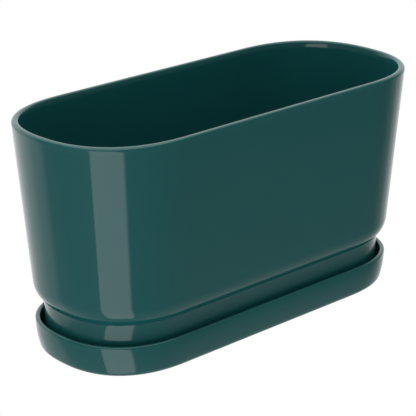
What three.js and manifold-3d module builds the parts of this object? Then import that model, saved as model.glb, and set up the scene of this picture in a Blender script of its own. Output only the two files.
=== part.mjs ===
// Oblong glazed ceramic planter standing in its drip saucer.
//
// Millimetres, +Z up. The origin is the centre of the face that the saucer stands on, and X runs along the
// planter. Both bodies are slip cast: each is a wall of even thickness that follows one section round an
// oblong outline. A section is a list of points, half width against height, from the middle of the underside,
// over the rim, to the middle of the floor. Each of its points becomes one level: a closed outline with a
// straight middle and two curved ends.

import * as THREE from "three";
import { mergeVertices } from "three/addons/utils/BufferGeometryUtils.js";
import Module from "manifold-3d";

// Outline of the pot and the saucer: how much deeper each curved end is than half of the width,
// and how square the end is, where 2 is an ellipse.
const endExtraDepth = 6;
const endSquareness = 2.37;

// Pot. It leans in from the rim to a wide round shoulder. Below the shoulder is a sharp crease, and below
// that the foot, whose wall starts with a lean and curves to upright in a slight hollow, the cove. Inside,
// just under the rim, the wall flares: it curves outwards by the given turn, in degrees, and thins towards
// the rim.
const potLength = 305;
const potWidth = 127;
const potHeight = 152;
const potWall = 4.9;
const rimTopWidth = 0.6;
const rimInnerRadius = 1.7;
const rimFlare = 18;
const rimFlareTurn = 12.5;
const sideLean = 6.4;
const endLean = 10.2;
const shoulderRadius = 17.5;
const creaseRadius = 1;
const coveRadius = 45;
const coveLean = 11;
const footSideInset = 5.9;
const footEndInset = 7.1;
const footEdgeRadius = 2;
const footRingWidth = 7;
const footRecess = 2.5;
const potFloorThickness = 5;
const potFloorCornerRadius = 5;

// Drain holes through the pot's floor, and the arched notches that let the water out under its foot ring
const drainHoleCount = 3;
const drainHoleDiameter = 12;
const drainHoleSpacing = 62;
const notchSpacing = 80;
const notchWidth = 16;
const notchHeight = 2;

// Saucer. Its wall is bowed: its outside is an arc of the given radius, from the lip in to the base.
const saucerHeight = 22.3;
const saucerWall = 3.2;
const saucerBow = 68;
const saucerSideLean = 1.5;
const saucerEndLean = 2.1;
const saucerBaseRadius = 5.3;
const saucerFloorThickness = 3.8;
const saucerCornerRadius = 2.5;
const saucerRingWidth = 6;
const saucerRecess = 1.2;
const recessEdgeRadius = 0.8;

// How the pot stands in the saucer: the room between its foot and the saucer's lip, beside the foot and past
// its ends, the height of foot that shows above the lip, and the gap kept between the foot ring and the
// saucer's floor.
const saucerSideRoom = 2.1;
const saucerEndRoom = 3;
const footShowing = 12.6;
const seatGap = 0.3;

// Finish: a dark teal gloss glaze
const glazeColour = 0x12504e;
const glazeRoughness = 0.12;

// Facets: steps round a curved end, steps in a quarter turn of a section's small roundings, least steps in
// its wide ones, and sides of a drain hole
const endSteps = 26;
const quarterSteps = 5;
const wideSteps = 3;
const holeSides = 24;

const quarterTurn = Math.PI / 2;
const halfTurn = Math.PI;

// Overall length and width of each outline that the others are worked out from
const rimSize = { length: potLength, width: potWidth };
const shoulderSize = inset(rimSize, endLean, sideLean);
const footSize = inset(shoulderSize, footEndInset, footSideInset);
const lipSize = inset(footSize, -saucerEndRoom - saucerWall, -saucerSideRoom - saucerWall);
const saucerBaseSize = inset(lipSize, saucerEndLean, saucerSideLean);

const saucerFloorTop = saucerRecess + saucerFloorThickness;
const potFloorTop = footRecess + potFloorThickness;
const potBase = saucerFloorTop + seatGap;
const creaseHeight = saucerHeight + footShowing - potBase;

/** An outline's size with its ends and its sides moved in by the given amounts. */
function inset({ length, width }, atEnds, atSides) {
  return { length: length - 2 * atEnds, width: width - 2 * atSides };
}

/** Half of the straight middle of an outline of the given size. */
function straightOf({ length, width }) {
  return length / 2 - width / 2 - endExtraDepth;
}

/** The points of one level, anticlockwise from above. Each end is half of a superellipse. */
function outlineOf({ straight, halfWidth }) {
  const power = 2 / endSquareness;
  const depth = halfWidth + endExtraDepth;
  const points = [];
  for (const end of [1, -1]) {
    for (let step = 0; step <= endSteps; step++) {
      const turn = (step / endSteps) * halfTurn - quarterTurn;
      const along = Math.max(Math.cos(turn), 0) ** power;
      const across = Math.sign(turn) * Math.abs(Math.sin(turn)) ** power;
      points.push(new THREE.Vector2(end * (straight + depth * along), end * halfWidth * across));
    }
  }
  return points;
}

/** One closed body: levels joined in order, with a flat cap facing down on the first and up on the last. */
function bodyOfLevels(levels) {
  const outlines = levels.map(outlineOf);
  const around = outlines[0].length;
  const positions = [];
  outlines.forEach((outline, row) => {
    for (const point of outline) positions.push(point.x, point.y, levels[row].height);
  });
  const faces = [];
  for (let row = 0; row + 1 < levels.length; row++) {
    for (let i = 0; i < around; i++) {
      const here = row * around + i;
      const next = row * around + ((i + 1) % around);
      faces.push(here, next, next + around, here, next + around, here + around);
    }
  }
  const last = (levels.length - 1) * around;
  for (const [a, b, c] of THREE.ShapeUtils.triangulateShape(outlines[0], [])) faces.push(a, c, b);
  for (const corners of THREE.ShapeUtils.triangulateShape(outlines.at(-1), [])) {
    faces.push(...corners.map((corner) => last + corner));
  }
  const geometry = new THREE.BufferGeometry();
  geometry.setAttribute("position", new THREE.Float32BufferAttribute(positions, 3));
  geometry.setIndex(faces);
  return geometry;
}

/** A section point: half width and height. */
function point(halfWidth, height) {
  return new THREE.Vector2(halfWidth, height);
}

/** The point at a distance from a centre. Angles are measured from straight outwards, anticlockwise. */
function pointFrom(centre, distance, angle) {
  return point(centre.x + distance * Math.cos(angle), centre.y + distance * Math.sin(angle));
}

/** Points of an arc in the section. */
function arc(centre, radius, from, to, leastSteps = 1) {
  const steps = Math.max(leastSteps, Math.round((Math.abs(to - from) / quarterTurn) * quarterSteps));
  const turn = (to - from) / steps;
  return Array.from({ length: steps + 1 }, (_, step) => pointFrom(centre, radius, from + turn * step));
}

/** The angle at which a point is seen from a centre that lies inward of it. */
function angleTo(centre, { x, y }) {
  return Math.atan((y - centre.y) / (x - centre.x));
}

/** The angle at which a straight wall faces when it touches the outside of an upper and a lower circle. */
function wallAngle(upper, upperRadius, lower, lowerRadius) {
  const between = upper.clone().sub(lower);
  return between.angle() - Math.acos((lowerRadius - upperRadius) / between.length());
}

/**
 * The centre of a wide circle that holds an upper and a lower circle and touches both on their outer side:
 * the corner, on the inward side, of the triangle whose other corners are their centres.
 */
function bowCentre(upper, upperRadius, lower, lowerRadius, bow) {
  const across = upper.clone().sub(lower);
  const fromUpper = bow - upperRadius;
  const fromLower = bow - lowerRadius;
  const cosine = (fromLower ** 2 + across.lengthSq() - fromUpper ** 2) / (2 * fromLower * across.length());
  return pointFrom(lower, fromLower, across.angle() + Math.acos(cosine));
}

/** The underside within a foot ring, from the recessed middle out to the face that the ring stands on. */
function recessSection(ringInner, recess) {
  const edge = point(ringInner + recessEdgeRadius, recessEdgeRadius);
  return [point(ringInner, recess), ...arc(edge, recessEdgeRadius, halfTurn, halfTurn + quarterTurn)];
}

/** The pot's section, and the heights at which its length is set: crease, shoulder and rim. */
function potSection() {
  const footFace = footSize.width / 2;
  // The cove's upper end faces this way. The crease is a small hollow round between it and the shoulder.
  const coveEnd = halfTurn - THREE.MathUtils.degToRad(coveLean);
  const coveReach = coveRadius - creaseRadius;
  const cove = point(footFace + coveRadius, creaseHeight - coveReach * Math.sin(coveEnd));
  const crease = pointFrom(cove, coveReach, coveEnd);
  const reach = shoulderRadius + creaseRadius;
  const shoulderInner = shoulderSize.width / 2 - shoulderRadius;
  const under = Math.acos((crease.x - shoulderInner) / reach);
  const shoulder = point(shoulderInner, crease.y + reach * Math.sin(under));
  // The rim's top is a narrow flat, square to the wall, with a rounding on each side. What the flare, the
  // inner rounding and the flat leave of the wall's thickness is the outer rounding.
  const flareTurn = THREE.MathUtils.degToRad(rimFlareTurn);
  const outerRoom = potWall - rimFlare + (rimFlare - rimInnerRadius) * Math.cos(flareTurn);
  const rimRadius = outerRoom - rimTopWidth;
  const rim = point(rimSize.width / 2 - rimRadius, potHeight - rimRadius);
  const lean = wallAngle(rim, rimRadius, shoulder, shoulderRadius);
  const flatEnd = pointFrom(rim, -rimTopWidth, lean);
  const innerRim = pointFrom(flatEnd, rimRadius - rimInnerRadius, lean + quarterTurn);
  const flareStart = lean + halfTurn - flareTurn;
  const flare = pointFrom(innerRim, rimInnerRadius - rimFlare, flareStart);
  const footEdge = point(footFace - footEdgeRadius, footEdgeRadius);
  const floorCorner = point(footFace - potWall - potFloorCornerRadius, potFloorTop + potFloorCornerRadius);
  const points = [
    ...recessSection(footFace - footRingWidth, footRecess),
    ...arc(footEdge, footEdgeRadius, -quarterTurn, 0),
    ...arc(cove, coveRadius, halfTurn, coveEnd, wideSteps),
    ...arc(crease, creaseRadius, coveEnd, halfTurn - under).slice(1),
    ...arc(shoulder, shoulderRadius, -under, lean, wideSteps).slice(1),
    ...arc(rim, rimRadius, lean, lean + quarterTurn),
    ...arc(innerRim, rimInnerRadius, lean + quarterTurn, flareStart),
    ...arc(flare, rimFlare, flareStart, lean + halfTurn, wideSteps).slice(1),
    ...arc(shoulder, shoulderRadius - potWall, lean, -under, wideSteps),
    ...arc(crease, creaseRadius + potWall, halfTurn - under, coveEnd).slice(1),
    ...arc(cove, coveRadius + potWall, coveEnd, halfTurn, wideSteps).slice(1),
    ...arc(floorCorner, potFloorCornerRadius, 0, -quarterTurn),
  ];
  const stations = [
    { height: crease.y, straight: straightOf(footSize) },
    { height: shoulder.y, straight: straightOf(shoulderSize) },
    { height: rim.y, straight: straightOf(rimSize) },
  ];
  return levelsOf(points, stations);
}

/** The saucer's section, and the heights at which its length is set: base and lip. */
function saucerSection() {
  const lipRadius = saucerWall / 2;
  const lip = point(lipSize.width / 2 - lipRadius, saucerHeight - lipRadius);
  const base = point(saucerBaseSize.width / 2 - saucerBaseRadius, saucerBaseRadius);
  const bow = bowCentre(lip, lipRadius, base, saucerBaseRadius, saucerBow);
  const lipEnd = angleTo(bow, lip);
  const baseEnd = angleTo(bow, base);
  // The inside corner's round touches the inner wall and the floor.
  const innerBow = saucerBow - saucerWall;
  const cornerHeight = saucerFloorTop + saucerCornerRadius;
  const cornerEnd = Math.asin((cornerHeight - bow.y) / (innerBow - saucerCornerRadius));
  const corner = pointFrom(bow, innerBow - saucerCornerRadius, cornerEnd);
  const points = [
    ...recessSection(base.x - saucerRingWidth, saucerRecess),
    ...arc(base, saucerBaseRadius, -quarterTurn, baseEnd),
    ...arc(bow, saucerBow, baseEnd, lipEnd, wideSteps).slice(1, -1),
    ...arc(lip, lipRadius, lipEnd, lipEnd + halfTurn),
    ...arc(bow, innerBow, lipEnd, cornerEnd, wideSteps).slice(1, -1),
    ...arc(corner, saucerCornerRadius, cornerEnd, -quarterTurn),
  ];
  const stations = [
    { height: base.y, straight: straightOf(saucerBaseSize) },
    { height: lip.y, straight: straightOf(lipSize) },
  ];
  return levelsOf(points, stations);
}

/** Turns section points into levels. Between two stations the straight middle grows evenly with height. */
function levelsOf(points, stations) {
  return points.map(({ x, y }) => {
    const above = Math.max(stations.findIndex(({ height }) => height > y), 1);
    const within = y < stations.at(-1).height;
    const [low, high] = within ? stations.slice(above - 1, above + 1) : stations.slice(-2);
    const share = THREE.MathUtils.clamp((y - low.height) / (high.height - low.height), 0, 1);
    return { straight: THREE.MathUtils.lerp(low.straight, high.straight, share), halfWidth: x, height: y };
  });
}

/** Upright cylinders that run past both faces of the pot's floor. */
function drainHoleCutters() {
  const radius = drainHoleDiameter / 2;
  return Array.from({ length: drainHoleCount }, (_, i) => {
    const cutter = new THREE.CylinderGeometry(radius, radius, 2 * potFloorTop, holeSides);
    cutter.rotateX(quarterTurn);
    return cutter.translate((i - (drainHoleCount - 1) / 2) * drainHoleSpacing, 0, potFloorTop);
  });
}

/** Low arches carried right across the pot, so that each one notches both long sides of the foot ring. */
function notchCutters() {
  const half = notchWidth / 2;
  const radius = (half ** 2 + notchHeight ** 2) / (2 * notchHeight);
  const spread = Math.asin(half / radius);
  const arch = new THREE.Shape();
  arch.moveTo(half, -notchHeight);
  arch.absarc(0, notchHeight - radius, radius, quarterTurn - spread, quarterTurn + spread, false);
  arch.lineTo(-half, -notchHeight);
  const extrusion = { depth: potWidth, bevelEnabled: false, curveSegments: quarterSteps };
  return [-1, 1].map((side) => {
    const cutter = new THREE.ExtrudeGeometry(arch, extrusion);
    cutter.rotateX(quarterTurn);
    return cutter.translate((side * notchSpacing) / 2, potWidth / 2, 0);
  });
}

/** A closed geometry as a solid that can be cut. */
function solidOf(wasm, geometry) {
  geometry.deleteAttribute("normal");
  geometry.deleteAttribute("uv");
  const merged = mergeVertices(geometry);
  const vertProperties = new Float32Array(merged.attributes.position.array);
  const triVerts = new Uint32Array(merged.index.array);
  return new wasm.Manifold(new wasm.Mesh({ numProp: 3, vertProperties, triVerts }));
}

/** A closed geometry with closed geometries cut out of it. */
function cutFrom(wasm, geometry, cutters) {
  const whole = solidOf(wasm, geometry);
  const solid = cutters.reduce((rest, cutter) => rest.subtract(solidOf(wasm, cutter)), whole);
  const { vertProperties, triVerts } = solid.getMesh();
  const cut = new THREE.BufferGeometry();
  cut.setAttribute("position", new THREE.BufferAttribute(vertProperties, 3));
  cut.setIndex(new THREE.BufferAttribute(triVerts, 1));
  return cut;
}

/** A named body in the planter's glaze. */
function glazed(name, geometry) {
  geometry.computeVertexNormals();
  const finish = { color: glazeColour, roughness: glazeRoughness, metalness: 0 };
  const mesh = new THREE.Mesh(geometry, new THREE.MeshStandardMaterial(finish));
  mesh.name = name;
  return mesh;
}

/** The pot, modelled up from its own foot and then stood on the saucer's floor. */
function makePot(wasm) {
  const cutters = [...drainHoleCutters(), ...notchCutters()];
  const pot = glazed("planter_pot", cutFrom(wasm, bodyOfLevels(potSection()), cutters));
  pot.position.z = potBase;
  return pot;
}

function makeSaucer() {
  return glazed("drip_saucer", bodyOfLevels(saucerSection()));
}

const wasm = await Module();
wasm.setup();

const planter = new THREE.Group();
planter.name = "oblong_planter";
planter.add(makeSaucer(), makePot(wasm));

export default planter;
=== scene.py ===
"""An oblong glazed ceramic planter standing in its drip saucer.

Metres, +Z up, X along the planter. Both bodies are slip cast. Each is one section, carried round an oblong
outline with a straight middle and two curved ends, so its surface is a grid of section points by outline
points.
"""

import math

import bmesh
import bpy
import numpy as np
from bpy.props import FloatProperty, FloatVectorProperty, IntProperty, PointerProperty
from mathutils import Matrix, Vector


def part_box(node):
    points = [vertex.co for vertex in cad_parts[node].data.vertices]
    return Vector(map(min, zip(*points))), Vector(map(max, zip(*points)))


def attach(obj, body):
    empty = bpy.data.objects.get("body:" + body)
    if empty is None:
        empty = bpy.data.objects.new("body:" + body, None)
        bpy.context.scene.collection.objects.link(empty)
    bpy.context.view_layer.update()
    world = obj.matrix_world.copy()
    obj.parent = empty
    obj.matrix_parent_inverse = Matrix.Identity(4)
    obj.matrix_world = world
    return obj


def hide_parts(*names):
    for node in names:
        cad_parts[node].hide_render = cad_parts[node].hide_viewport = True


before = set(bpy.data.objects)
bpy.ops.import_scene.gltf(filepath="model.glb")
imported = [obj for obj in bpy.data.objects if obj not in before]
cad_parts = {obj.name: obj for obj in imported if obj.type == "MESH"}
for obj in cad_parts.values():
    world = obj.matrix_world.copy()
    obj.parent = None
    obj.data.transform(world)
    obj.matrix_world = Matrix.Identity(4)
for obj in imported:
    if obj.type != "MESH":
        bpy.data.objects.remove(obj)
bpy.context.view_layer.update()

bl_info = {
    "name": "Oblong Glazed Planter",
    "version": (1, 0, 0),
    "blender": (4, 5, 0),
    "location": "3D View > Sidebar > Planter",
    "description": "Builds an oblong glazed planter, its drip saucer and a studio to show them in",
    "category": "Add Mesh",
}

POT_LOW, POT_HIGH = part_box("planter_pot")
SAUCER_LOW, SAUCER_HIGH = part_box("drip_saucer")

MM = 0.001
# A quarter turn and a half turn
QUARTER = math.pi / 2
HALF = math.pi
MERGE_DISTANCE = 1e-6


def linear_colour(hex_colour):
    """Linear RGB of an sRGB hex colour, by the sRGB transfer curve."""
    srgb = np.array([int(hex_colour[i : i + 2], 16) for i in (1, 3, 5)]) / 255
    return tuple(np.where(srgb <= 0.04045, srgb / 12.92, ((srgb + 0.055) / 1.055) ** 2.4).tolist())


def length_property(name, description, default):
    """A size in metres, shown in the scene's own unit."""
    return FloatProperty(
        name=name,
        description=description,
        default=default,
        min=0,
        unit="LENGTH",
        precision=5,
    )


def angle_property(name, description, degrees):
    """An angle, given in degrees and kept in radians."""
    return FloatProperty(
        name=name,
        description=description,
        default=math.radians(degrees),
        subtype="ANGLE",
    )


def colour_property(name, description, hex_colour):
    """A linear colour, given as sRGB hex."""
    return FloatVectorProperty(
        name=name,
        description=description,
        default=linear_colour(hex_colour),
        size=3,
        min=0,
        max=1,
        subtype="COLOR",
    )


class PlanterSizes(bpy.types.PropertyGroup):
    """Sizes of the pot and the saucer. The overall ones come from the frame."""

    pot_length: length_property("Pot length", "Length over the pot's rim", POT_HIGH.x - POT_LOW.x)
    pot_width: length_property("Pot width", "Width over the pot's rim", POT_HIGH.y - POT_LOW.y)
    pot_height: length_property("Pot height", "From the pot's foot ring to its rim", POT_HIGH.z - POT_LOW.z)
    pot_base: length_property("Pot base", "Height of the pot's foot ring above the ground", POT_LOW.z)
    pot_wall: length_property("Pot wall", "Thickness of the cast wall", 4.9 * MM)
    rim_top: length_property("Rim top", "Width of the narrow flat on top of the rim", 0.6 * MM)
    rim_inner_radius: length_property("Rim inner radius", "Inner rounding of the rim", 1.7 * MM)
    rim_flare: length_property("Rim flare", "Radius of the slight flare inside under the rim", 18 * MM)
    rim_flare_turn: angle_property("Rim flare turn", "How far the flare turns", 12.5)
    side_lean: length_property("Side lean", "How far the shoulder is in from the rim, each side", 6.4 * MM)
    end_lean: length_property("End lean", "How far the shoulder is in from the rim, each end", 10.2 * MM)
    shoulder_radius: length_property("Shoulder radius", "Rounding of the wall's lower edge", 17.5 * MM)
    crease_radius: length_property("Crease radius", "Hollow rounding between shoulder and foot", 1 * MM)
    crease_height: length_property("Crease height", "From the pot's foot ring to the crease", 29.6 * MM)
    foot_inset: length_property("Foot inset", "How far it is in from the wall, each side", 5.9 * MM)
    foot_end_inset: length_property("Foot end inset", "How far it is in from the wall, each end", 7.1 * MM)
    cove_radius: length_property("Cove radius", "Slight hollow of the foot's wall below the crease", 45 * MM)
    cove_lean: angle_property("Cove lean", "Lean of the foot's wall at the crease", 11)
    foot_edge_radius: length_property("Foot edge radius", "Outer rounding of the foot ring", 2 * MM)
    foot_ring_width: length_property("Foot ring width", "Width of the ring that the pot stands on", 7 * MM)
    foot_recess: length_property("Foot recess", "Depth of the underside within the ring", 2.5 * MM)
    floor_thickness: length_property("Pot floor", "Thickness of the pot's floor", 5 * MM)
    floor_corner_radius: length_property("Pot floor corner", "Rounding between floor and foot wall", 5 * MM)
    drain_hole_radius: length_property("Drain hole radius", "Radius of each drain hole", 6 * MM)
    drain_hole_edge: length_property("Drain hole edge", "Rounding of the glaze over its edge", 1.3 * MM)
    drain_hole_spacing: length_property("Drain hole spacing", "Between two holes' middles", 62 * MM)
    notch_spacing: length_property("Notch spacing", "Between the two notches on a side", 80 * MM)
    notch_width: length_property("Notch width", "Width of each notch under the foot ring", 16 * MM)
    notch_height: length_property("Notch height", "Height of each notch under the foot ring", 2 * MM)
    saucer_length: length_property("Saucer length", "Length over its lip", SAUCER_HIGH.x - SAUCER_LOW.x)
    saucer_width: length_property("Saucer width", "Width over its lip", SAUCER_HIGH.y - SAUCER_LOW.y)
    saucer_height: length_property("Saucer height", "Overall height", SAUCER_HIGH.z - SAUCER_LOW.z)
    saucer_wall: length_property("Saucer wall", "Thickness of the saucer's wall", 3.2 * MM)
    saucer_side_lean: length_property("Saucer side lean", "How far the base is in, each side", 1.5 * MM)
    saucer_end_lean: length_property("Saucer end lean", "How far the base is in, each end", 2.1 * MM)
    saucer_bow: length_property("Saucer bow", "Radius of the saucer wall's bowed outside", 68 * MM)
    saucer_base_radius: length_property("Saucer base radius", "Outer rounding of its lower edge", 5.3 * MM)
    saucer_floor_top: length_property("Saucer floor", "Height of its floor above the ground", 5 * MM)
    saucer_corner_radius: length_property("Saucer corner", "Rounding between its floor and wall", 2.5 * MM)
    saucer_ring_width: length_property("Saucer ring width", "Width of the ring that it stands on", 6 * MM)
    saucer_recess: length_property("Saucer recess", "Depth of the underside within its ring", 1.2 * MM)
    recess_edge_radius: length_property("Recess edge radius", "Inner rounding of both foot rings", 0.8 * MM)
    end_extra_depth: length_property("End depth", "A curved end's depth beyond half the width", 6 * MM)
    end_squareness: FloatProperty(
        name="End squareness",
        description="How square a curved end is, where 2 is an ellipse",
        default=2.37,
        min=2,
        max=4,
    )
    drain_hole_count: IntProperty(
        name="Drain holes",
        description="Holes in the pot's floor",
        default=3,
        min=1,
        max=5,
    )


class PlanterColours(bpy.types.PropertyGroup):
    """Colours of the glaze, the bare clay and the ground."""

    glaze: colour_property("Glaze", "Copper and cobalt gloss glaze, dark teal", "#206465")
    thin_glaze: colour_property("Thin glaze", "The same glaze where it ran off an edge", "#246766")
    thick_glaze: colour_property("Pooled glaze", "The same glaze where it pooled in a hollow", "#1E6061")
    clay: colour_property("Clay", "Fired stoneware where the foot rings are wiped clean", "#B9AB97")
    clay_grit: colour_property("Clay grit", "Darker grains in the clay", "#96836B")
    ground: colour_property("Ground", "The plain pale floor", "#FFFFFF")


# Grid steps: round a curved end, along one straight side, and in a quarter turn of a section's rounding
END_STEPS = 84
SIDE_STEP = 2 * MM
QUARTER_STEPS = 12
WALL_STEPS = 18
SHORT_STEPS = 4
PATCH_STEPS = 12
PATCH_HALF = 12 * MM

# How far along the section the glaze evens out, and the radius of an edge that halves its depth
GLAZE_SPREAD = 1.6 * MM
GLAZE_RUN = 2.5 * MM


def point_from(centre, distance, angle):
    """The point at a distance from a centre. Angles run anticlockwise from straight outwards."""
    return centre[0] + distance * math.cos(angle), centre[1] + distance * math.sin(angle)


def arc(centre, radius, start, end, least=3):
    """Points of a round arc: the centre plus the radius times the cosine and sine of evenly spaced angles."""
    steps = max(least, math.ceil(abs(end - start) / QUARTER * QUARTER_STEPS))
    angle = np.linspace(start, end, steps + 1)
    return np.stack([centre[0] + radius * np.cos(angle), centre[1] + radius * np.sin(angle)], axis=1)


def between(start, end, steps):
    """Points strictly between two points, closer together towards both, at half a cosine wave."""
    share = (1 - np.cos(np.linspace(0, HALF, steps + 1)[1:-1])) / 2
    start, end = np.asarray(start), np.asarray(end)
    return start + share[:, None] * (end - start)


def chain(*runs):
    """Joins runs of section points. A number in place of a run is that many steps of straight wall."""
    points = []
    for i, run in enumerate(runs):
        points.append(between(runs[i - 1][-1], runs[i + 1][0], run) if isinstance(run, int) else run)
    return np.concatenate(points)


def bowed_wall(upper, upper_radius, lower, lower_radius, bow):
    """The centre of a wide circle that holds an upper and a lower circle and touches both on the outside.

    It lies where a circle round each centre, with that radius taken off the bow, meets the other one.
    """
    upper, lower = np.array(upper), np.array(lower)
    across = upper - lower
    gap = np.hypot(*across)
    from_upper, from_lower = bow - upper_radius, bow - lower_radius
    along = (from_lower**2 - from_upper**2 + gap**2) / (2 * gap)
    inward = np.array([-across[1], across[0]]) / gap
    return lower + across / gap * along + inward * math.sqrt(from_lower**2 - along**2)


def angle_to(centre, point):
    """The direction of a point seen from a centre."""
    return math.atan2(point[1] - centre[1], point[0] - centre[0])


def wall_angle(upper, upper_radius, lower, lower_radius):
    """The angle that a straight wall faces when it touches the outside of an upper and a lower circle."""
    across, up = upper[0] - lower[0], upper[1] - lower[1]
    return math.atan2(up, across) - math.acos((lower_radius - upper_radius) / math.hypot(across, up))


def recess_points(ring_inner, recess, edge_radius):
    """The side of the recess within a foot ring, and the rounding down to the ring's flat."""
    edge = (ring_inner + edge_radius, edge_radius)
    return chain(np.array([[ring_inner, recess]]), SHORT_STEPS, arc(edge, edge_radius, HALF, HALF + QUARTER))


def pot_section(sizes):
    """The pot's section, half width against height, and half its straight at crease, shoulder and rim."""
    wall, radius, crease_radius = sizes.pot_wall, sizes.shoulder_radius, sizes.crease_radius
    shoulder_half = sizes.pot_width / 2 - sizes.side_lean
    foot_face = shoulder_half - sizes.foot_inset
    cove_reach = sizes.cove_radius - crease_radius
    crease = (foot_face + sizes.cove_radius - cove_reach * math.cos(sizes.cove_lean), sizes.crease_height)
    cove = (foot_face + sizes.cove_radius, crease[1] - cove_reach * math.sin(sizes.cove_lean))
    under = math.acos((crease[0] - shoulder_half + radius) / (radius + crease_radius))
    shoulder = (shoulder_half - radius, crease[1] + (radius + crease_radius) * math.sin(under))
    # The rim's top is a narrow flat, square to the wall, with a rounding on each side. What the flare, the
    # inner rounding and the flat leave of the wall's thickness is the outer rounding.
    inner_radius, flare_radius = sizes.rim_inner_radius, sizes.rim_flare
    outer_room = wall - flare_radius + (flare_radius - inner_radius) * math.cos(sizes.rim_flare_turn)
    rim_radius = outer_room - sizes.rim_top
    rim = (sizes.pot_width / 2 - rim_radius, sizes.pot_height - rim_radius)
    lean = wall_angle(rim, rim_radius, shoulder, radius)
    flat_end = point_from(rim, -sizes.rim_top, lean)
    inner_rim = point_from(flat_end, rim_radius - inner_radius, lean + QUARTER)
    flare_start = lean + HALF - sizes.rim_flare_turn
    flare = point_from(inner_rim, inner_radius - flare_radius, flare_start)
    foot_edge = (foot_face - sizes.foot_edge_radius, sizes.foot_edge_radius)
    corner_radius, lean_end = sizes.floor_corner_radius, HALF - sizes.cove_lean
    floor_top = sizes.foot_recess + sizes.floor_thickness
    floor_corner = (foot_face - wall - corner_radius, floor_top + corner_radius)
    points = chain(
        recess_points(foot_face - sizes.foot_ring_width, sizes.foot_recess, sizes.recess_edge_radius),
        SHORT_STEPS,
        arc(foot_edge, sizes.foot_edge_radius, -QUARTER, 0),
        WALL_STEPS,
        arc(cove, sizes.cove_radius, HALF, lean_end),
        arc(crease, crease_radius, lean_end, HALF - under)[1:],
        arc(shoulder, radius, -under, lean)[1:],
        WALL_STEPS,
        arc(rim, rim_radius, lean, lean + QUARTER),
        arc(inner_rim, inner_radius, lean + QUARTER, flare_start),
        arc(flare, flare_radius, flare_start, lean + HALF)[1:],
        WALL_STEPS,
        arc(shoulder, radius - wall, lean, -under),
        arc(crease, crease_radius + wall, HALF - under, lean_end)[1:],
        arc(cove, sizes.cove_radius + wall, lean_end, HALF)[1:],
        WALL_STEPS,
        arc(floor_corner, corner_radius, 0, -QUARTER),
    )
    rim_straight = (sizes.pot_length - sizes.pot_width) / 2 - sizes.end_extra_depth
    shoulder_straight = rim_straight - sizes.end_lean + sizes.side_lean
    foot_straight = shoulder_straight - sizes.foot_end_inset + sizes.foot_inset
    stations = [(crease[1], foot_straight), (shoulder[1], shoulder_straight), (rim[1], rim_straight)]
    return points, stations


def saucer_section(sizes):
    """The saucer's section, half width against height, and half its straight at base and lip."""
    lip_radius, base_radius = sizes.saucer_wall / 2, sizes.saucer_base_radius
    corner_radius = sizes.saucer_corner_radius
    lip = (sizes.saucer_width / 2 - lip_radius, sizes.saucer_height - lip_radius)
    base = (sizes.saucer_width / 2 - sizes.saucer_side_lean - base_radius, base_radius)
    bow = bowed_wall(lip, lip_radius, base, base_radius, sizes.saucer_bow)
    low, high = angle_to(bow, base), angle_to(bow, lip)
    inner_bow = sizes.saucer_bow - sizes.saucer_wall
    corner_height = sizes.saucer_floor_top + corner_radius
    corner_rise = corner_height - bow[1]
    corner = (bow[0] + math.sqrt((inner_bow - corner_radius) ** 2 - corner_rise**2), corner_height)
    inner_low = angle_to(bow, corner)
    points = chain(
        recess_points(base[0] - sizes.saucer_ring_width, sizes.saucer_recess, sizes.recess_edge_radius),
        SHORT_STEPS,
        arc(base, base_radius, -QUARTER, low),
        arc(bow, sizes.saucer_bow, low, high, WALL_STEPS)[1:-1],
        arc(lip, lip_radius, high, high + HALF),
        arc(bow, inner_bow, high, inner_low, WALL_STEPS)[1:-1],
        arc(corner, corner_radius, inner_low, -QUARTER),
    )
    lip_straight = (sizes.saucer_length - sizes.saucer_width) / 2 - sizes.end_extra_depth
    base_straight = lip_straight - sizes.saucer_end_lean + sizes.saucer_side_lean
    return points, [(base[1], base_straight), (lip[1], lip_straight)]


def glaze_depths(points):
    """How deep the glaze lies at each section point: 1 in a hollow, where it pools, and 0 on an edge.

    It is a half, less a share of the section's turn for each metre along it, smoothed over a few millimetres
    by a bell curve.
    """
    step = np.diff(points, axis=0)
    length = np.hypot(*step.T)
    middle = np.cumsum(length) - length / 2
    heading = np.unwrap(np.arctan2(step[:, 1], step[:, 0]))
    turn_at = (middle[1:] + middle[:-1]) / 2
    along = np.concatenate([[0], np.cumsum(length)])
    bell = np.exp(-(((along[:, None] - turn_at) / GLAZE_SPREAD) ** 2) / 2)
    turning = bell @ np.diff(heading) / (GLAZE_SPREAD * math.sqrt(2 * HALF))
    return np.clip(0.5 - turning * GLAZE_RUN, 0, 1)


def side_shares(sizes, straight):
    """Places along a straight side, from 1 to -1, and the middles of the drain holes.

    There is a place at each edge of each drain hole's square.
    """
    count = sizes.drain_hole_count
    middles = (np.arange(count) - (count - 1) / 2) * sizes.drain_hole_spacing
    marks = np.unique(np.concatenate([middles - PATCH_HALF, middles + PATCH_HALF, [-straight, straight]]))
    runs = [
        np.linspace(start, end, max(1, round((end - start) / SIDE_STEP)), endpoint=False)
        for start, end in zip(marks[:-1], marks[1:])
    ]
    return np.append(np.concatenate(runs), straight)[::-1] / straight, middles


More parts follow.
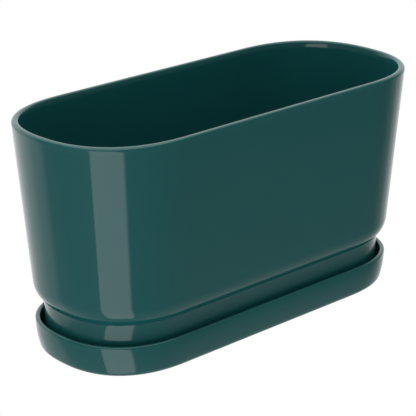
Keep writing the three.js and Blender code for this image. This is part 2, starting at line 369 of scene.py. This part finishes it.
def outline_grid(points, stations, shares, sizes):
    """Carries a section round the outline: arrays of x and y, one row for each section point.

    A curved end is half of a superellipse: its depth times a power of the cosine, and its half width times
    the same power of the sine. Columns run anticlockwise from the near corner of the right end.
    """
    power = 2 / sizes.end_squareness
    turn = np.linspace(-QUARTER, QUARTER, END_STEPS + 1)
    along = np.maximum(np.cos(turn), 0) ** power
    across = np.sign(turn) * np.abs(np.sin(turn)) ** power
    half_width = points[:, :1]
    straight = np.interp(points[:, 1], *np.array(stations).T)[:, None]
    depth = half_width + sizes.end_extra_depth
    inner = shares[1:-1]
    x = np.hstack([straight + depth * along, straight * inner, -straight - depth * along, -straight * inner])
    side = np.ones_like(inner)
    y = np.hstack([half_width * across, half_width * side, -half_width * across, -half_width * side])
    return x, y


class Surface:
    """Vertices and faces gathered from grids, and welded where their edges meet."""

    def __init__(self):
        self.vertices = []
        self.depths = []
        self.quads = []
        self.count = 0

    def add_grid(self, x, y, z, depth=0.5, closed=False, keep=None, flip=False):
        """Adds a grid of rows and columns, with the glaze's depth on each row.

        closed joins the last column to the first, keep drops quads and flip turns them over.
        """
        rows, columns = x.shape
        index = self.count + np.arange(rows * columns).reshape(rows, columns)
        if closed:
            index = np.hstack([index, index[:, :1]])
        quads = np.stack([index[:-1, :-1], index[:-1, 1:], index[1:, 1:], index[1:, :-1]], axis=-1)
        quads = quads[keep] if keep is not None else quads.reshape(-1, 4)
        self.quads.append(quads[:, ::-1] if flip else quads)
        self.vertices.append(np.stack([x, y, z], axis=-1).reshape(-1, 3))
        self.depths.append(np.broadcast_to(np.reshape(depth, (-1, 1)), x.shape).ravel())
        self.count += rows * columns

    def mesh(self, name):
        """The welded mesh. Quads that collapse at the tips of the ends become triangles."""
        data = bpy.data.meshes.new(name)
        data.from_pydata(np.concatenate(self.vertices), [], np.concatenate(self.quads))
        depths = data.attributes.new("glaze_depth", "FLOAT", "POINT")
        depths.data.foreach_set("value", np.concatenate(self.depths))
        welded = bmesh.new()
        welded.from_mesh(data)
        bmesh.ops.remove_doubles(welded, verts=welded.verts, dist=MERGE_DISTANCE)
        welded.to_mesh(data)
        welded.free()
        data.shade_smooth()
        return data


def add_flat(surface, x, y, height, middles, hole_edge, facing):
    """Closes a section's end with a flat: its last outline, ruled straight across from side to side.

    Each drain hole has a square of the grid left out. Rings that change evenly from the hole's round to the
    square's border fill it in. facing is 1 for a floor and -1 for an underside.
    """
    upper = np.roll(np.arange(x.size), -(END_STEPS // 2))[: x.size // 2 + 1]
    column_x, half = x[upper], y[upper]
    widest = half.max()
    lines = np.concatenate([
        np.linspace(-widest, -PATCH_HALF, PATCH_STEPS, endpoint=False),
        np.linspace(-PATCH_HALF, PATCH_HALF, PATCH_STEPS, endpoint=False),
        np.linspace(PATCH_HALF, widest, PATCH_STEPS + 1),
    ])
    grid_x = np.repeat(column_x[None], lines.size, axis=0)
    grid_y = lines[:, None] / widest * half
    centre_x = (grid_x[:-1, :-1] + grid_x[:-1, 1:]) / 2
    centre_y = (grid_y[:-1, :-1] + grid_y[1:, :-1]) / 2
    keep = np.ones_like(centre_x, bool)
    for middle in middles:
        keep &= (np.abs(centre_x - middle) > PATCH_HALF) | (np.abs(centre_y) > PATCH_HALF)
    surface.add_grid(grid_x, grid_y, np.full_like(grid_x, height), keep=keep, flip=facing > 0)
    border = square_border()
    angle = np.arctan2(border[:, 1], border[:, 0])
    circle = hole_edge * np.stack([np.cos(angle), np.sin(angle)], axis=1)
    share = np.linspace(0, 1, PATCH_STEPS // 2 + 1)[:, None, None]
    ring = circle + share * (border - circle)
    for middle in middles:
        ring_x, ring_y = ring[..., 0] + middle, ring[..., 1]
        surface.add_grid(ring_x, ring_y, np.full_like(ring_x, height), closed=True, flip=facing > 0)


def square_border():
    """Points round the border of a drain hole's square, anticlockwise, at the grid's spacing."""
    steps = np.linspace(-PATCH_HALF, PATCH_HALF, PATCH_STEPS, endpoint=False)
    edge = np.full_like(steps, PATCH_HALF)
    return np.concatenate([
        np.stack([edge, steps], axis=1),
        np.stack([-steps, edge], axis=1),
        np.stack([-edge, -steps], axis=1),
        np.stack([steps, -edge], axis=1),
    ])


def add_hole_wall(surface, middle, low, high, sizes):
    """A drain hole's wall: a section with a rounding at each end, turned about the hole's own axis."""
    radius, edge = sizes.drain_hole_radius, sizes.drain_hole_edge
    section = chain(
        arc((radius + edge, low + edge), edge, -QUARTER, -HALF),
        SHORT_STEPS,
        arc((radius + edge, high - edge), edge, HALF, QUARTER),
    )
    border = square_border()
    angle = np.arctan2(border[:, 1], border[:, 0])
    x = section[:, :1] * np.cos(angle) + middle
    y = section[:, :1] * np.sin(angle)
    height = np.repeat(section[:, 1:], angle.size, axis=1)
    surface.add_grid(x, y, height, glaze_depths(section), closed=True, flip=True)


def cut_notches(x, z, sizes):
    """Lifts the foot ring into low arches: a height below an arch's round becomes the arch's height there."""
    half, rise = sizes.notch_width / 2, sizes.notch_height
    radius = (half**2 + rise**2) / (2 * rise)
    for middle in (-sizes.notch_spacing / 2, sizes.notch_spacing / 2):
        offset = np.minimum(np.abs(x - middle), half)
        z = np.maximum(z, rise - radius + np.sqrt(radius**2 - offset**2))
    return z


# The glaze is a lead-free glass. Its gloss comes from firing, and the clay under it is dry.
GLAZE_IOR = 1.52
GLOSS_ROUGHNESS, DULL_ROUGHNESS, CLAY_ROUGHNESS = 0.05, 0.075, 0.85
# How far the cloudiness moves the glaze's depth, and how high the sponge's line wanders over the foot ring
CLOUDINESS = 0.12
WIPE_WAVE = 0.6 * MM
# Widths of the cloudiness, the dull patches, the waves, the wipe line's wander and the grit, and how far
# apart the pinholes are
CLOUD_WIDTH = 45.5 * MM
PATCH_WIDTH = 18.2 * MM
WAVE_WIDTH = 8 * MM
WIPE_WIDTH = 11.1 * MM
GRIT_WIDTH = 0.714 * MM
PINHOLE_SPACING = 11.76 * MM
# The stretch of a noise's values over which the cloudiness and the dull patches change
CLOUD_START, CLOUD_END = 0.3, 0.7
PATCH_START, PATCH_END = 0.35, 0.7
# Heights of the waves and the grit, the pinholes' depth, and their radius as a share of their spacing
WAVE_HEIGHT = 0.012 * MM
GRIT_HEIGHT = 0.12 * MM
PINHOLE_DEPTH = 0.03 * MM
PINHOLE_REACH = 0.02


def make_piece(name, mesh, body, node, material):
    """Puts a finished mesh into the scene as the piece that stands for a CAD node."""
    piece = bpy.data.objects.new(name, mesh)
    bpy.context.scene.collection.objects.link(piece)
    mesh.materials.append(material)
    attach(piece, body)
    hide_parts(node)
    return piece


def add_node(tree, kind, links=None, **settings):
    """Adds a node, sets its inputs and properties by name, and links inputs to other nodes' outputs."""
    node = tree.nodes.new(kind)
    for key, value in settings.items():
        setattr(node, key, value)
    for key, value in (links or {}).items():
        if isinstance(value, bpy.types.NodeSocket):
            tree.links.new(value, node.inputs[key])
        else:
            node.inputs[key].default_value = value
    return node


def glazed_stoneware(name, colours, base_height):
    """Slip-cast stoneware, dipped in a dark teal gloss glaze and fired.

    The glaze is a layer of glass, so highlights are sharp and white over a dark even colour. It set with a
    slight waviness and a few fine pinholes, is deeper and darker in hollows and thinner over edges, and is
    wiped off the foot ring, which shows dry pale clay with fine grit.
    """
    material = bpy.data.materials.new(name)
    material.use_nodes = True
    tree = material.node_tree
    tree.nodes.clear()
    place = add_node(tree, "ShaderNodeTexCoord").outputs["Object"]

    # Colour: by the glaze's depth on the mesh, moved a little by a faint cloudiness
    depth = add_node(tree, "ShaderNodeAttribute", attribute_name="glaze_depth").outputs["Fac"]
    cloud = add_node(tree, "ShaderNodeTexNoise", {
        "Vector": place,
        "Scale": 1 / CLOUD_WIDTH,
        "Detail": 2.0,
    }).outputs["Fac"]
    drift = add_node(tree, "ShaderNodeMapRange", {
        "Value": cloud,
        "From Min": CLOUD_START,
        "From Max": CLOUD_END,
        "To Min": -CLOUDINESS,
        "To Max": CLOUDINESS,
    }).outputs["Result"]
    shade = add_node(tree, "ShaderNodeMath", {0: depth, 1: drift}, operation="ADD", use_clamp=True).outputs[0]
    glaze = add_node(tree, "ShaderNodeValToRGB", {"Fac": shade})
    stops = glaze.color_ramp.elements
    stops.new(0.5)
    for stop, colour in zip(stops, (colours.thin_glaze, colours.glaze, colours.thick_glaze)):
        stop.color = (*colour, 1)

    # Clay: everything below a line just over the foot ring's flat, wavy where the sponge wiped it
    height = add_node(tree, "ShaderNodeSeparateXYZ", {"Vector": place}).outputs["Z"]
    wipe = add_node(tree, "ShaderNodeTexNoise", {
        "Vector": place,
        "Scale": 1 / WIPE_WIDTH,
        "Detail": 1.0,
    }).outputs["Fac"]
    line = add_node(tree, "ShaderNodeMath", {
        0: wipe,
        1: WIPE_WAVE,
        2: base_height,
    }, operation="MULTIPLY_ADD").outputs[0]
    bare = add_node(tree, "ShaderNodeMath", {0: height, 1: line}, operation="LESS_THAN").outputs[0]
    grit = add_node(tree, "ShaderNodeTexNoise", {
        "Vector": place,
        "Scale": 1 / GRIT_WIDTH,
        "Detail": 3.0,
    }).outputs["Fac"]
    clay = add_node(tree, "ShaderNodeMix", {
        "Factor": grit,
        "A": (*colours.clay, 1),
        "B": (*colours.clay_grit, 1),
    }, data_type="RGBA").outputs["Result"]
    colour = add_node(tree, "ShaderNodeMix", {
        "Factor": bare,
        "A": glaze.outputs["Color"],
        "B": clay,
    }, data_type="RGBA").outputs["Result"]

    # Roughness: even gloss, with patches a little less bright, and dry clay
    patches = add_node(tree, "ShaderNodeTexNoise", {
        "Vector": place,
        "Scale": 1 / PATCH_WIDTH,
        "Detail": 3.0,
    }).outputs["Fac"]
    gloss = add_node(tree, "ShaderNodeMapRange", {
        "Value": patches,
        "From Min": PATCH_START,
        "From Max": PATCH_END,
        "To Min": GLOSS_ROUGHNESS,
        "To Max": DULL_ROUGHNESS,
    }).outputs["Result"]
    roughness = add_node(tree, "ShaderNodeMix", {
        "Factor": bare,
        "A": gloss,
        "B": CLAY_ROUGHNESS,
    }).outputs["Result"]

    # Surface: a slight waviness, pinholes about 0.4 mm wide, and the clay's grit
    waves = add_node(tree, "ShaderNodeTexNoise", {
        "Vector": place,
        "Scale": 1 / WAVE_WIDTH,
        "Detail": 0.0,
    }).outputs["Fac"]
    wavy = add_node(tree, "ShaderNodeBump", {"Height": waves, "Strength": 1.0, "Distance": WAVE_HEIGHT})
    cells = add_node(tree, "ShaderNodeTexVoronoi", {
        "Vector": place,
        "Scale": 1 / PINHOLE_SPACING,
    }).outputs["Distance"]
    pits = add_node(tree, "ShaderNodeMapRange", {
        "Value": cells,
        "From Min": 0.0,
        "From Max": PINHOLE_REACH,
        "To Min": 0.0,
        "To Max": 1.0,
    }, interpolation_type="SMOOTHSTEP").outputs["Result"]
    pitted = add_node(tree, "ShaderNodeBump", {
        "Height": pits,
        "Strength": 1.0,
        "Distance": PINHOLE_DEPTH,
        "Normal": wavy.outputs["Normal"],
    })
    rough_clay = add_node(tree, "ShaderNodeMath", {0: grit, 1: bare}, operation="MULTIPLY").outputs[0]
    bumpy = add_node(tree, "ShaderNodeBump", {
        "Height": rough_clay,
        "Strength": 1.0,
        "Distance": GRIT_HEIGHT,
        "Normal": pitted.outputs["Normal"],
    })
    shader = add_node(tree, "ShaderNodeBsdfPrincipled", {
        "Base Color": colour,
        "Roughness": roughness,
        "IOR": GLAZE_IOR,
        "Normal": bumpy.outputs["Normal"],
    })
    add_node(tree, "ShaderNodeOutputMaterial", {"Surface": shader.outputs["BSDF"]})
    return material


class PLANTER_OT_pot(bpy.types.Operator):
    """Builds the pot and its glaze"""

    bl_idname = "planter.make_pot"
    bl_label = "Make Pot"

    def execute(self, context):
        sizes, colours = context.scene.planter_sizes, context.scene.planter_colours
        points, stations = pot_section(sizes)
        shares, middles = side_shares(sizes, stations[0][1])
        x, y = outline_grid(points, stations, shares, sizes)
        z = cut_notches(x, np.repeat(points[:, 1:], x.shape[1], axis=1), sizes)
        surface = Surface()
        surface.add_grid(x, y, z + sizes.pot_base, glaze_depths(points), closed=True)
        edge = sizes.drain_hole_radius + sizes.drain_hole_edge
        low, high = sizes.pot_base + sizes.foot_recess, sizes.pot_base + points[-1, 1]
        add_flat(surface, x[0], y[0], low, middles, edge, -1)
        add_flat(surface, x[-1], y[-1], high, middles, edge, 1)
        for middle in middles:
            add_hole_wall(surface, middle, low, high, sizes)
        glaze = glazed_stoneware("glazed_stoneware_pot", colours, sizes.pot_base)
        make_piece("pot_body", surface.mesh("pot_body"), "pot", "planter_pot", glaze)
        return {"FINISHED"}


class PLANTER_OT_saucer(bpy.types.Operator):
    """Builds the drip saucer and its glaze"""

    bl_idname = "planter.make_saucer"
    bl_label = "Make Saucer"

    def execute(self, context):
        sizes, colours = context.scene.planter_sizes, context.scene.planter_colours
        points, stations = saucer_section(sizes)
        shares, _ = side_shares(sizes, stations[0][1])
        x, y = outline_grid(points, stations, shares, sizes)
        z = np.repeat(points[:, 1:], x.shape[1], axis=1)
        surface = Surface()
        surface.add_grid(x, y, z, glaze_depths(points), closed=True)
        add_flat(surface, x[0], y[0], sizes.saucer_recess, [], 0, -1)
        add_flat(surface, x[-1], y[-1], sizes.saucer_floor_top, [], 0, 1)
        glaze = glazed_stoneware("glazed_stoneware_saucer", colours, 0)
        make_piece("saucer_body", surface.mesh("saucer_body"), "saucer", "drip_saucer", glaze)
        return {"FINISHED"}


# Where the camera stands: turned from the view along +Y, raised, and this far from the point that it looks at
CAMERA_TURN = math.radians(-43.74)
CAMERA_RISE = math.radians(19.99)
CAMERA_DISTANCE = 1.2012
CAMERA_TARGET = Vector((0, 0, 0.0784))
CAMERA_LENS = 153
CAMERA_SENSOR = 36
CAMERA_SHIFT = (-0.0234, -0.0183)
CAMERA_CLIP_END = 50

# The studio's brightness round the horizon, by the direction's turn in degrees, as for the camera: 0 is in
# front of the planter, and positive is to the right. White walls stand behind the planter and at its sides,
# and the side that the camera stands on is left dark.
WALL_BRIGHTNESS = (
    (-180, 1.2), (-160, 1.05), (-148, 0.75), (-138, 0.16), (-118, 0.14), (-95, 0.2), (-76, 0.27),
    (-20, 0.09), (20, 0.1), (66, 0.12), (80, 0.32), (92, 0.7), (108, 1.0), (180, 1.2),
)
OVERHEAD_BRIGHTNESS = 1.5
OVERHEAD_START, OVERHEAD_END = math.radians(45), math.radians(60)
GROUND_BRIGHTNESS = (
    (-180, 0.5), (-110, 0.34), (-75, 0.34), (-22, 0.3), (22, 0.34), (44, 0.43), (90, 0.45), (180, 0.8),
)
# How much of the light from below is the ground's, by elevation in degrees: all of it from steeply below, and
# none from near the horizon
GROUND_SHARE = ((-180, 1), (-50, 1), (-28, 0.42), (-21, 0), (180, 0))
# One tall soft box, left of the camera. It fades towards its right side, which leans to the left, by this
# share of a degree for each degree upwards.
SOFT_BOX_BRIGHTNESS = 1.6
SOFT_BOX_LEFT, SOFT_BOX_RIGHT = math.radians(-73), math.radians(-38.7)
SOFT_BOX_SLANT = 0.36
SOFT_BOX_LOW, SOFT_BOX_HIGH = math.radians(-66), math.radians(14)
SOFT_BOX_EDGE, SOFT_BOX_FADE = math.radians(2.5), math.radians(7)
FLOOR_SIZE = 12
FLOOR_GLOW = 1.0


def studio_world():
    """The light all round, as a brightness for each direction.

    The direction's turn is the arctangent of its x and -y, and its rise the arcsine of its z. The camera sees
    plain white.
    """
    world = bpy.data.worlds.new("studio")
    world.use_nodes = True
    tree = world.node_tree
    tree.nodes.clear()
    direction = add_node(tree, "ShaderNodeTexCoord").outputs["Generated"]
    axes = add_node(tree, "ShaderNodeSeparateXYZ", {"Vector": direction}).outputs
    front = add_node(tree, "ShaderNodeMath", {0: axes["Y"], 1: -1.0}, operation="MULTIPLY").outputs[0]
    turn = add_node(tree, "ShaderNodeMath", {0: axes["X"], 1: front}, operation="ARCTAN2").outputs[0]
    rise = add_node(tree, "ShaderNodeMath", {0: axes["Z"]}, operation="ARCSINE").outputs[0]
    walls = brightness_by(tree, turn, WALL_BRIGHTNESS)
    floor = brightness_by(tree, turn, GROUND_BRIGHTNESS)
    overhead = smooth_step(tree, rise, OVERHEAD_START, OVERHEAD_END)
    ground = brightness_by(tree, rise, GROUND_SHARE, "LINEAR")
    slanted = add_node(tree, "ShaderNodeMath", {
        0: rise,
        1: SOFT_BOX_SLANT,
        2: turn,
    }, operation="MULTIPLY_ADD").outputs[0]
    box = smooth_step(tree, turn, SOFT_BOX_LEFT - SOFT_BOX_EDGE, SOFT_BOX_LEFT)
    for value, start, end in (
        (slanted, SOFT_BOX_RIGHT + SOFT_BOX_FADE, SOFT_BOX_RIGHT),
        (rise, SOFT_BOX_HIGH + SOFT_BOX_EDGE, SOFT_BOX_HIGH),
        (rise, SOFT_BOX_LOW - SOFT_BOX_EDGE, SOFT_BOX_LOW),
    ):
        edge = smooth_step(tree, value, start, end)
        box = add_node(tree, "ShaderNodeMath", {0: box, 1: edge}, operation="MULTIPLY").outputs[0]
    camera = add_node(tree, "ShaderNodeLightPath").outputs["Is Camera Ray"]
    light = walls
    for amount, colour in (
        (ground, floor),
        (overhead, grey(OVERHEAD_BRIGHTNESS)),
        (box, grey(SOFT_BOX_BRIGHTNESS)),
        (camera, grey(1.0)),
    ):
        light = add_node(tree, "ShaderNodeMix", {"Factor": amount, "A": light, "B": colour}, data_type="RGBA")
        light = light.outputs["Result"]
    background = add_node(tree, "ShaderNodeBackground", {"Color": light})
    add_node(tree, "ShaderNodeOutputWorld", {"Surface": background.outputs["Background"]})
    return world


def grey(brightness):
    """A colour with the same brightness in red, green and blue."""
    return (brightness, brightness, brightness, 1)


def brightness_by(tree, angle, stops, interpolation="EASE"):
    """The brightness that stops give for an angle: each stop is an angle in degrees and its brightness."""
    share = add_node(tree, "ShaderNodeMapRange", {"Value": angle, "From Min": -HALF, "From Max": HALF})
    node = add_node(tree, "ShaderNodeValToRGB", {"Fac": share.outputs["Result"]})
    ramp = node.color_ramp
    ramp.interpolation = interpolation
    for place, (degrees, brightness) in enumerate(stops):
        position = degrees / 360 + 0.5
        stop = ramp.elements.new(position) if 0 < place < len(stops) - 1 else ramp.elements[-bool(place)]
        stop.position = position
        stop.color = grey(brightness)
    return node.outputs["Color"]


def smooth_step(tree, value, start, end):
    """A factor that rises smoothly from 0 where the value is at start to 1 where it is at end."""
    step = add_node(tree, "ShaderNodeMapRange", {
        "Value": value,
        "From Min": start,
        "From Max": end,
    }, interpolation_type="SMOOTHSTEP")
    return step.outputs["Result"]


def backlit_acrylic(colours):
    """Matt white acrylic, lit from below, as product photographers use it: pale, with hardly a shadow."""
    material = bpy.data.materials.new("backlit_acrylic")
    material.use_nodes = True
    shader = material.node_tree.nodes["Principled BSDF"]
    shader.inputs["Base Color"].default_value = (0, 0, 0, 1)
    shader.inputs["Roughness"].default_value = 0.9
    shader.inputs["Specular IOR Level"].default_value = 0
    shader.inputs["Emission Color"].default_value = (*colours.ground, 1)
    shader.inputs["Emission Strength"].default_value = FLOOR_GLOW
    return material


class PLANTER_OT_studio(bpy.types.Operator):
    """Sets up the floor, the soft light and the camera"""

    bl_idname = "planter.make_studio"
    bl_label = "Make Studio"

    def execute(self, context):
        scene = context.scene
        scene.view_settings.view_transform = "Standard"
        back = Vector((
            math.sin(CAMERA_TURN) * math.cos(CAMERA_RISE),
            -math.cos(CAMERA_TURN) * math.cos(CAMERA_RISE),
            math.sin(CAMERA_RISE),
        ))
        lens = bpy.data.cameras.new("studio_camera")
        lens.lens, lens.sensor_width = CAMERA_LENS, CAMERA_SENSOR
        lens.shift_x, lens.shift_y = CAMERA_SHIFT
        lens.clip_end = CAMERA_CLIP_END
        camera = bpy.data.objects.new("studio_camera", lens)
        camera.location = CAMERA_TARGET + CAMERA_DISTANCE * back
        camera.rotation_euler = back.to_track_quat("Z", "Y").to_euler()
        scene.collection.objects.link(camera)
        scene.camera = camera
        scene.world = studio_world()
        reach = FLOOR_SIZE / 2
        sheet = bpy.data.meshes.new("studio_floor")
        corners = [(-reach, -reach, 0), (reach, -reach, 0), (reach, reach, 0), (-reach, reach, 0)]
        sheet.from_pydata(corners, [], [(0, 1, 2, 3)])
        sheet.materials.append(backlit_acrylic(scene.planter_colours))
        floor = bpy.data.objects.new("studio_floor", sheet)
        scene.collection.objects.link(floor)
        floor.visible_glossy = False
        floor.visible_diffuse = False
        floor.visible_shadow = False
        return {"FINISHED"}


class PLANTER_PT_panel(bpy.types.Panel):
    """Lists the planter's sizes, colours and operators"""

    bl_idname = "PLANTER_PT_panel"
    bl_label = "Planter"
    bl_space_type = "VIEW_3D"
    bl_region_type = "UI"
    bl_category = "Planter"

    def draw(self, context):
        for group in (context.scene.planter_sizes, context.scene.planter_colours):
            column = self.layout.column()
            for name in group.__annotations__:
                column.prop(group, name)
        for operator in (PLANTER_OT_pot, PLANTER_OT_saucer, PLANTER_OT_studio):
            self.layout.operator(operator.bl_idname)


CLASSES = (
    PlanterSizes,
    PlanterColours,
    PLANTER_OT_pot,
    PLANTER_OT_saucer,
    PLANTER_OT_studio,
    PLANTER_PT_panel,
)


def register():
    for cls in CLASSES:
        bpy.utils.register_class(cls)
    bpy.types.Scene.planter_sizes = PointerProperty(type=PlanterSizes)
    bpy.types.Scene.planter_colours = PointerProperty(type=PlanterColours)


def unregister():
    del bpy.types.Scene.planter_colours
    del bpy.types.Scene.planter_sizes
    for cls in reversed(CLASSES):
        bpy.utils.unregister_class(cls)


def main():
    """Builds the studio and both pieces."""
    register()
    bpy.ops.planter.make_studio()
    bpy.ops.planter.make_saucer()
    bpy.ops.planter.make_pot()


if __name__ == "__main__":
    main()
